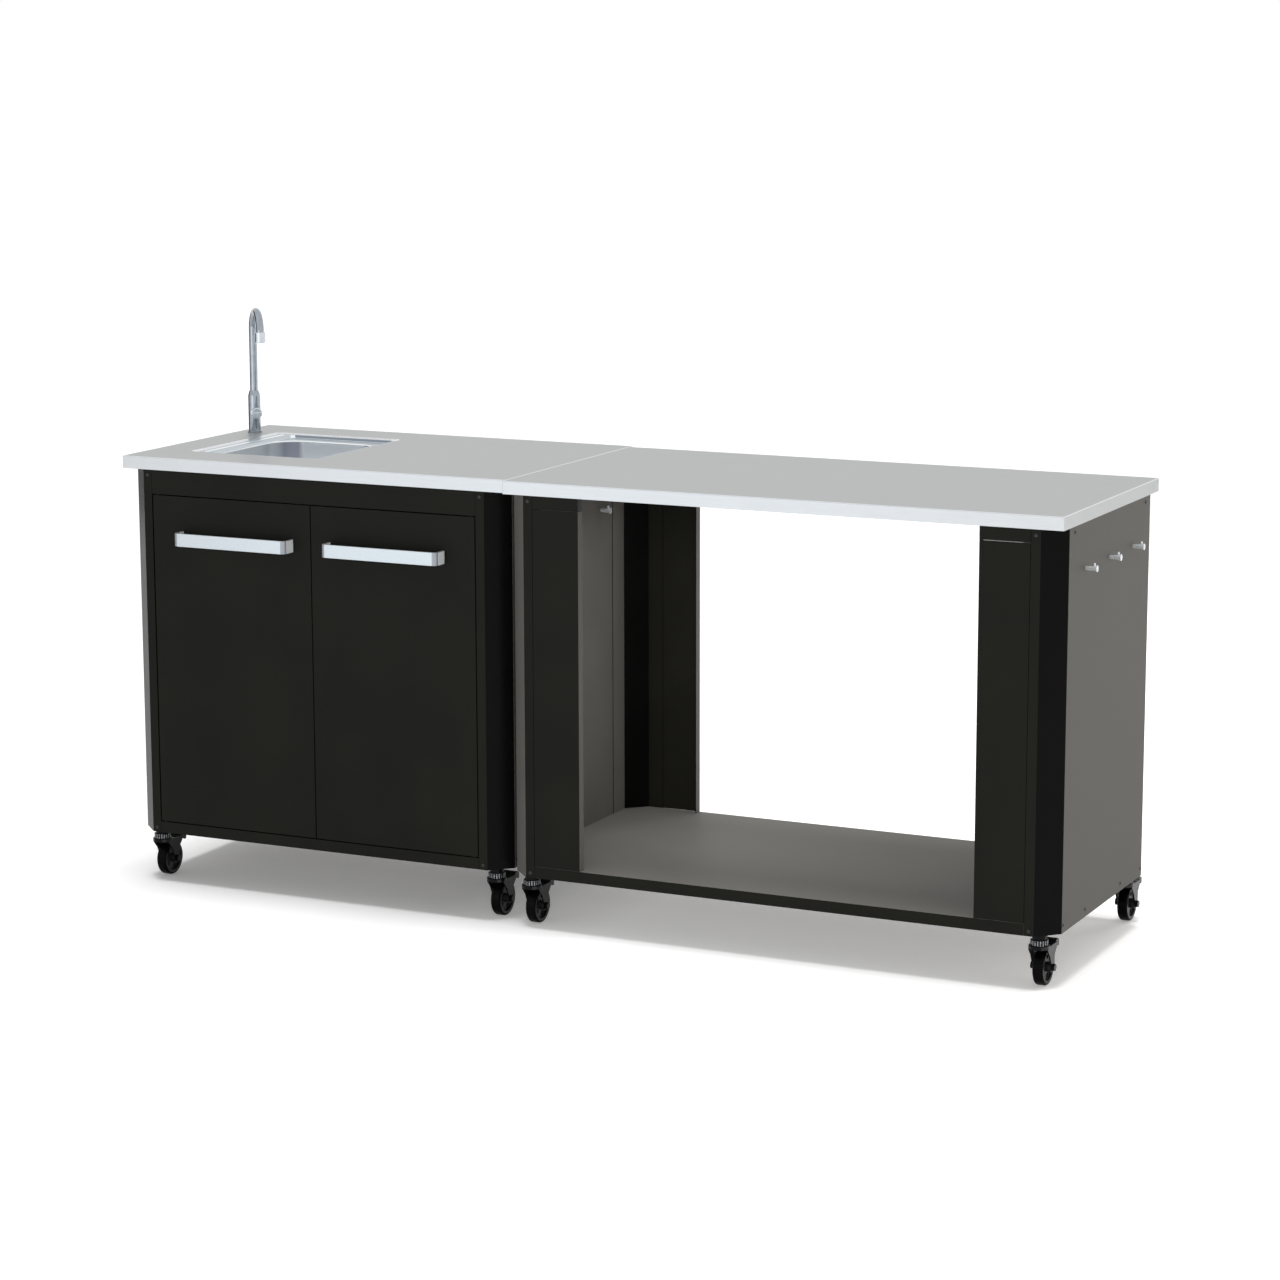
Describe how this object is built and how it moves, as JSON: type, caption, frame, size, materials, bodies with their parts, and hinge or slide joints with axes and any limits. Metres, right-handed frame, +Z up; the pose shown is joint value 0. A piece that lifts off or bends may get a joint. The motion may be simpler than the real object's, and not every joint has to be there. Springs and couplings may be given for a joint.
{
  "type": "outdoor kitchen unit",
  "caption": "Outdoor kitchen: a sink cabinet with doors and a tap beside an open table with a shelf, both on braked swivel casters under steel worktops.",
  "frame": {"origin": "on the floor under the middle of the bounding box", "axes": "+X to the right along the worktops seen from the front, +Y from the front to the back, +Z up"},
  "size_m": [2.1506, 0.661, 1.2209],
  "materials": {
    "worktop_steel": "satin stainless steel",
    "basin_steel": "polished stainless steel",
    "chrome": "chrome plate",
    "tap_brass": "plain brass",
    "drain_plastic": "moulded plastic",
    "handle_aluminium": "satin anodised aluminium",
    "satin_black_paint": "satin powder coat",
    "gloss_black_paint": "gloss powder coat",
    "graphite_paint": "satin powder coat",
    "zinc": "zinc plate",
    "hook_steel": "polished stainless steel",
    "black_screw": "black oxide",
    "caster_steel": "black coat",
    "pedal_black": "moulded nylon",
    "wheel_black": "moulded rubber on nylon",
    "magnet_plastic": "moulded plastic"
  },
  "bodies": {
    "base": {"cabinet_back_panel": "satin_black_paint", "cabinet_back_posts": "gloss_black_paint", "cabinet_bottom_rail": "satin_black_paint", "cabinet_floor": "graphite_paint", "cabinet_front_posts": "gloss_black_paint", "cabinet_left_side": "graphite_paint", "cabinet_right_side": "graphite_paint", "cabinet_top_rail": "satin_black_paint", "caster_stems": "caster_steel", "corner_plates": "caster_steel", "door_magnets": "magnet_plastic", "drain_flange": "chrome", "drain_tailpiece": "drain_plastic", "hinge_pins": "zinc", "panel_screws": "black_screw", "sink_basin": "basin_steel", "sink_worktop": "worktop_steel", "table_back_posts": "gloss_black_paint", "table_fillers": "satin_black_paint", "table_front_posts": "gloss_black_paint", "table_left_side": "graphite_paint", "table_right_side": "graphite_paint", "table_shelf": "graphite_paint", "table_top_brackets": "satin_black_paint", "table_worktop": "worktop_steel", "tap_body": "chrome", "tap_nut": "tap_brass", "utensil_hooks": "hook_steel", "worktop_stiffeners": "zinc"},
    "left_door": {"door_left": "satin_black_paint", "handle_left": "handle_aluminium"},
    "right_door": {"door_right": "satin_black_paint", "handle_right": "handle_aluminium"},
    "spout": {"tap_spout": "chrome", "tap_aerator": "chrome"},
    "knob": {"tap_knob": "chrome"},
    "fork_1": {"caster_fork_1": "caster_steel"},
    "wheel_1": {"caster_wheel_1": "wheel_black"},
    "pedal_1": {"caster_brake_1": "pedal_black"},
    "fork_2": {"caster_fork_2": "caster_steel"},
    "wheel_2": {"caster_wheel_2": "wheel_black"},
    "pedal_2": {"caster_brake_2": "pedal_black"},
    "fork_3": {"caster_fork_3": "caster_steel"},
    "wheel_3": {"caster_wheel_3": "wheel_black"},
    "pedal_3": {"caster_brake_3": "pedal_black"},
    "fork_4": {"caster_fork_4": "caster_steel"},
    "wheel_4": {"caster_wheel_4": "wheel_black"},
    "pedal_4": {"caster_brake_4": "pedal_black"},
    "fork_5": {"caster_fork_5": "caster_steel"},
    "wheel_5": {"caster_wheel_5": "wheel_black"},
    "pedal_5": {"caster_brake_5": "pedal_black"},
    "fork_6": {"caster_fork_6": "caster_steel"},
    "wheel_6": {"caster_wheel_6": "wheel_black"},
    "pedal_6": {"caster_brake_6": "pedal_black"},
    "fork_7": {"caster_fork_7": "caster_steel"},
    "wheel_7": {"caster_wheel_7": "wheel_black"},
    "pedal_7": {"caster_brake_7": "pedal_black"},
    "fork_8": {"caster_fork_8": "caster_steel"},
    "wheel_8": {"caster_wheel_8": "wheel_black"},
    "pedal_8": {"caster_brake_8": "pedal_black"}
  },
  "joints": [
    {"name": "left_door_hinge", "type": "hinge", "parent": "base", "child": "left_door", "pos_m": [-0.99125, -0.2885, 0.49425], "axis": [0, 0, -1], "range_deg": [0, 100]},
    {"name": "right_door_hinge", "type": "hinge", "parent": "base", "child": "right_door", "pos_m": [-0.22925, -0.2885, 0.49425], "axis": [0, 0, 1], "range_deg": [0, 100]},
    {"name": "spout_swivel", "type": "hinge", "parent": "base", "child": "spout", "pos_m": [-1.03025, 0.1705, 1.02], "axis": [0, 0, 1], "range_deg": [-120, 120]},
    {"name": "knob_turn", "type": "hinge", "parent": "base", "child": "knob", "pos_m": [-1.01866, 0.15807, 0.982], "axis": [0.682, -0.7314, 0], "range_deg": [0, 90]},
    {"name": "caster_swivel_1", "type": "hinge", "parent": "base", "child": "fork_1", "pos_m": [-1.02575, -0.2565, 0.088], "axis": [0, 0, 1], "continuous": true},
    {"name": "wheel_spin_1", "type": "hinge", "parent": "fork_1", "child": "wheel_1", "pos_m": [-1.02575, -0.2295, 0.0375], "axis": [1, 0, 0], "continuous": true},
    {"name": "brake_pedal_1", "type": "hinge", "parent": "fork_1", "child": "pedal_1", "pos_m": [-1.02575, -0.2165, 0.079], "axis": [-1, 0, 0], "range_deg": [0, 20]},
    {"name": "caster_swivel_2", "type": "hinge", "parent": "base", "child": "fork_2", "pos_m": [-0.19475, -0.2565, 0.088], "axis": [0, 0, 1], "continuous": true},
    {"name": "wheel_spin_2", "type": "hinge", "parent": "fork_2", "child": "wheel_2", "pos_m": [-0.19475, -0.2295, 0.0375], "axis": [1, 0, 0], "continuous": true},
    {"name": "brake_pedal_2", "type": "hinge", "parent": "fork_2", "child": "pedal_2", "pos_m": [-0.19475, -0.2165, 0.079], "axis": [-1, 0, 0], "range_deg": [0, 20]},
    {"name": "caster_swivel_3", "type": "hinge", "parent": "base", "child": "fork_3", "pos_m": [-1.02575, 0.2635, 0.088], "axis": [0, 0, 1], "continuous": true},
    {"name": "wheel_spin_3", "type": "hinge", "parent": "fork_3", "child": "wheel_3", "pos_m": [-1.02575, 0.2905, 0.0375], "axis": [1, 0, 0], "continuous": true},
    {"name": "brake_pedal_3", "type": "hinge", "parent": "fork_3", "child": "pedal_3", "pos_m": [-1.02575, 0.3035, 0.079], "axis": [-1, 0, 0], "range_deg": [0, 20]},
    {"name": "caster_swivel_4", "type": "hinge", "parent": "base", "child": "fork_4", "pos_m": [-0.19475, 0.2635, 0.088], "axis": [0, 0, 1], "continuous": true},
    {"name": "wheel_spin_4", "type": "hinge", "parent": "fork_4", "child": "wheel_4", "pos_m": [-0.19475, 0.2905, 0.0375], "axis": [1, 0, 0], "continuous": true},
    {"name": "brake_pedal_4", "type": "hinge", "parent": "fork_4", "child": "pedal_4", "pos_m": [-0.19475, 0.3035, 0.079], "axis": [-1, 0, 0], "range_deg": [0, 20]},
    {"name": "caster_swivel_5", "type": "hinge", "parent": "base", "child": "fork_5", "pos_m": [-0.10075, -0.2785, 0.088], "axis": [0, 0, 1], "continuous": true},
    {"name": "wheel_spin_5", "type": "hinge", "parent": "fork_5", "child": "wheel_5", "pos_m": [-0.10075, -0.2515, 0.0375], "axis": [1, 0, 0], "continuous": true},
    {"name": "brake_pedal_5", "type": "hinge", "parent": "fork_5", "child": "pedal_5", "pos_m": [-0.10075, -0.2385, 0.079], "axis": [-1, 0, 0], "range_deg": [0, 20]},
    {"name": "caster_swivel_6", "type": "hinge", "parent": "base", "child": "fork_6", "pos_m": [1.01025, -0.2785, 0.088], "axis": [0, 0, 1], "continuous": true},
    {"name": "wheel_spin_6", "type": "hinge", "parent": "fork_6", "child": "wheel_6", "pos_m": [1.01025, -0.2515, 0.0375], "axis": [1, 0, 0], "continuous": true},
    {"name": "brake_pedal_6", "type": "hinge", "parent": "fork_6", "child": "pedal_6", "pos_m": [1.01025, -0.2385, 0.079], "axis": [-1, 0, 0], "range_deg": [0, 20]},
    {"name": "caster_swivel_7", "type": "hinge", "parent": "base", "child": "fork_7", "pos_m": [-0.10075, 0.2575, 0.088], "axis": [0, 0, 1], "continuous": true},
    {"name": "wheel_spin_7", "type": "hinge", "parent": "fork_7", "child": "wheel_7", "pos_m": [-0.10075, 0.2845, 0.0375], "axis": [1, 0, 0], "continuous": true},
    {"name": "brake_pedal_7", "type": "hinge", "parent": "fork_7", "child": "pedal_7", "pos_m": [-0.10075, 0.2975, 0.079], "axis": [-1, 0, 0], "range_deg": [0, 20]},
    {"name": "caster_swivel_8", "type": "hinge", "parent": "base", "child": "fork_8", "pos_m": [1.01025, 0.2575, 0.088], "axis": [0, 0, 1], "continuous": true},
    {"name": "wheel_spin_8", "type": "hinge", "parent": "fork_8", "child": "wheel_8", "pos_m": [1.01025, 0.2845, 0.0375], "axis": [1, 0, 0], "continuous": true},
    {"name": "brake_pedal_8", "type": "hinge", "parent": "fork_8", "child": "pedal_8", "pos_m": [1.01025, 0.2975, 0.079], "axis": [-1, 0, 0], "range_deg": [0, 20]}
  ]
}
